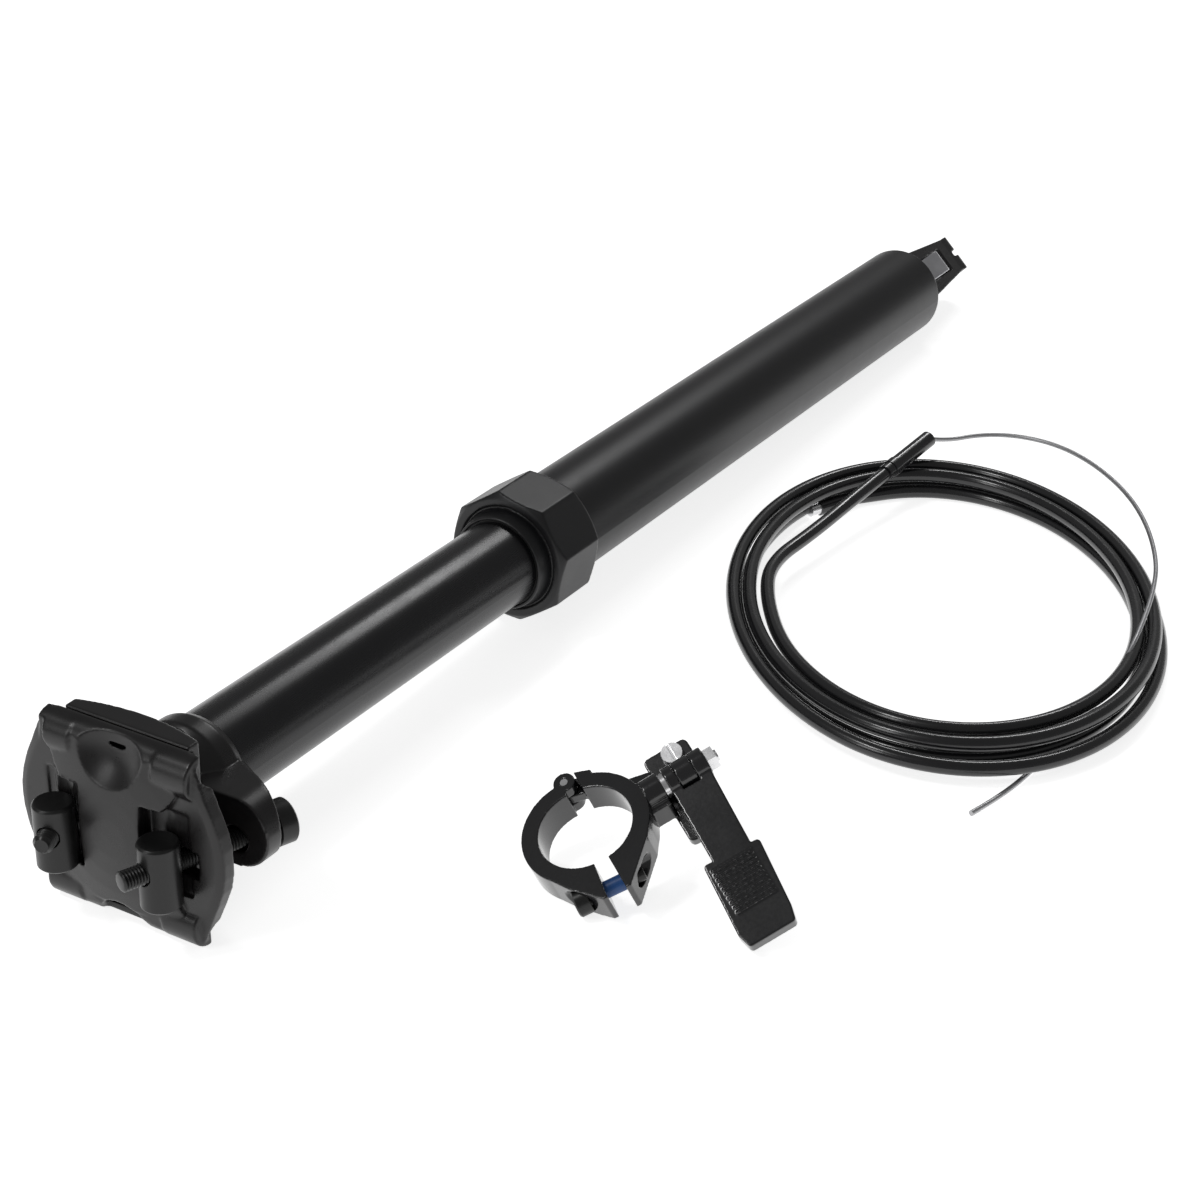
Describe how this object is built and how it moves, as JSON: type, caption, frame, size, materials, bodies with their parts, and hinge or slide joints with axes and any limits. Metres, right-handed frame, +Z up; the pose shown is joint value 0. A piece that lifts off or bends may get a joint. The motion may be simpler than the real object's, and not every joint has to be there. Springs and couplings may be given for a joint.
{
  "type": "dropper seatpost kit",
  "caption": "Telescopic bicycle seatpost with a saddle rail clamp, bar-mounted thumb remote and coiled control cable.",
  "frame": {"origin": "on the post axis at the shoulder where the outer tube meets the seal collar", "axes": "+X along the lying kit towards the cable end of the post, +Y towards the rider's far side, +Z up from the floor"},
  "size_m": [0.4833, 0.2137, 0.0569],
  "materials": {
    "black_anodised": "satin black anodised",
    "black_stanchion": "smooth black anodised",
    "black_forged": "bead blasted black anodised",
    "black_fastener": "black oxide steel",
    "gloss_black": "gloss black",
    "cartridge_aluminium": "machined",
    "polished_steel": "bright zinc plated",
    "wire_steel": "stranded, drawn",
    "key_brass": "machined",
    "bushing_plastic": "matte",
    "housing_plastic": "glossy black",
    "seal_rubber": "matte"
  },
  "bodies": {
    "outer": {"outer_tube": "black_anodised", "seal_collar": "black_anodised", "collar_bushing": "bushing_plastic", "wiper_seal": "seal_rubber", "tail_housing": "black_forged", "actuator_pivot": "polished_steel", "cartridge_rod": "polished_steel", "cartridge_piston": "cartridge_aluminium", "piston_ring": "seal_rubber", "remote_body": "gloss_black", "hinge_pin": "polished_steel", "pivot_bolt": "polished_steel", "pivot_nut": "polished_steel", "inner_washer": "polished_steel", "outer_washer": "polished_steel", "bracket_screw": "polished_steel", "cable_housing": "housing_plastic", "housing_lead": "housing_plastic", "housing_sleeve": "housing_plastic", "housing_end_cap": "housing_plastic", "wire_nipple": "polished_steel", "inner_wire": "wire_steel", "wire_end_bead": "wire_steel"},
    "stanchion": {"stanchion_tube": "black_stanchion", "stanchion_bushing": "bushing_plastic", "guide_keys": "key_brass", "cartridge_body": "cartridge_aluminium", "cartridge_gland": "cartridge_aluminium", "top_out_bumper": "seal_rubber", "post_head": "black_forged"},
    "gas_divider": {"floating_piston": "cartridge_aluminium"},
    "saddle_clamp": {"lower_cradle": "black_forged", "upper_clamp": "black_forged"},
    "front_clamp_bolt": {"front_bolt": "black_fastener"},
    "rear_clamp_bolt": {"rear_bolt": "black_fastener"},
    "front_barrel_nut": {"front_nut": "black_fastener"},
    "rear_barrel_nut": {"rear_nut": "black_fastener"},
    "actuator": {"actuator_lever": "cartridge_aluminium", "cable_barrel": "polished_steel"},
    "release": {"release_pin": "polished_steel"},
    "thumb_lever": {"remote_lever": "gloss_black", "cable_anchor": "polished_steel"},
    "strap": {"clamp_strap": "gloss_black", "clamp_bolt": "polished_steel"}
  },
  "joints": [
    {"name": "stanchion_slide", "type": "slide", "parent": "outer", "child": "stanchion", "axis": [0.9995, 0, -0.03], "range_m": [0, 0.12], "stiffness_N_per_m": 500, "springref_m": -0.3},
    {"name": "gas_divider_slide", "type": "slide", "parent": "stanchion", "child": "gas_divider", "axis": [-0.9995, 0, 0.03], "range_m": [0, 0.0345]},
    {"name": "saddle_tilt", "type": "hinge", "parent": "stanchion", "child": "saddle_clamp", "pos_m": [-0.17592, 0, 0.00528], "axis": [0.03, 0, 0.9995], "range_deg": [-5, 5]},
    {"name": "front_bolt_swing", "type": "hinge", "parent": "stanchion", "child": "front_clamp_bolt", "pos_m": [-0.15362, 0.0297, 0.00261], "axis": [0.03, 0, 0.9995], "range_deg": [-1.5, 1.5]},
    {"name": "rear_bolt_swing", "type": "hinge", "parent": "stanchion", "child": "rear_clamp_bolt", "pos_m": [-0.15362, -0.0297, 0.00261], "axis": [0.03, 0, 0.9995], "range_deg": [-1.5, 1.5]},
    {"name": "front_nut_turn", "type": "hinge", "parent": "saddle_clamp", "child": "front_barrel_nut", "pos_m": [-0.19047, 0.017, 0.00372], "axis": [0.03, 0, 0.9995], "range_deg": [-4.2, 4.2]},
    {"name": "rear_nut_turn", "type": "hinge", "parent": "saddle_clamp", "child": "rear_barrel_nut", "pos_m": [-0.19047, -0.017, 0.00372], "axis": [0.03, 0, 0.9995], "range_deg": [-4.2, 4.2]},
    {"name": "actuator_swing", "type": "hinge", "parent": "outer", "child": "actuator", "pos_m": [0.24898, -0.00318, -0.00429], "axis": [0.0212, 0.7071, 0.7068], "range_deg": [0, 19]},
    {"name": "release_slide", "type": "slide", "parent": "outer", "child": "release", "axis": [-0.9995, 0, 0.03], "range_m": [0, 0.0014], "stiffness_N_per_m": 200, "springref_m": -0.002},
    {"name": "lever_swing", "type": "hinge", "parent": "outer", "child": "thumb_lever", "pos_m": [-0.09241, -0.09925, 0.00131], "axis": [-0.6931, 0.5873, -0.4179], "range_deg": [0, 25], "stiffness_Nm_per_rad": 0.05, "springref_deg": -17.19},
    {"name": "strap_swing", "type": "hinge", "parent": "outer", "child": "strap", "pos_m": [-0.10205, -0.07218, -0.00796], "axis": [-0.4551, 0.0931, 0.8856], "range_deg": [0, 5.5]}
  ],
  "couplings": [
    {"joint": "gas_divider_slide", "follows": "stanchion_slide", "ratio": 0.2844},
    {"joint": "front_bolt_swing", "follows": "saddle_tilt", "ratio": 0.2096},
    {"joint": "rear_bolt_swing", "follows": "saddle_tilt", "ratio": 0.2096},
    {"joint": "front_nut_turn", "follows": "saddle_tilt", "ratio": -0.7904},
    {"joint": "rear_nut_turn", "follows": "saddle_tilt", "ratio": -0.7904},
    {"joint": "actuator_swing", "follows": "release_slide", "rad_per_m": 222}
  ]
}
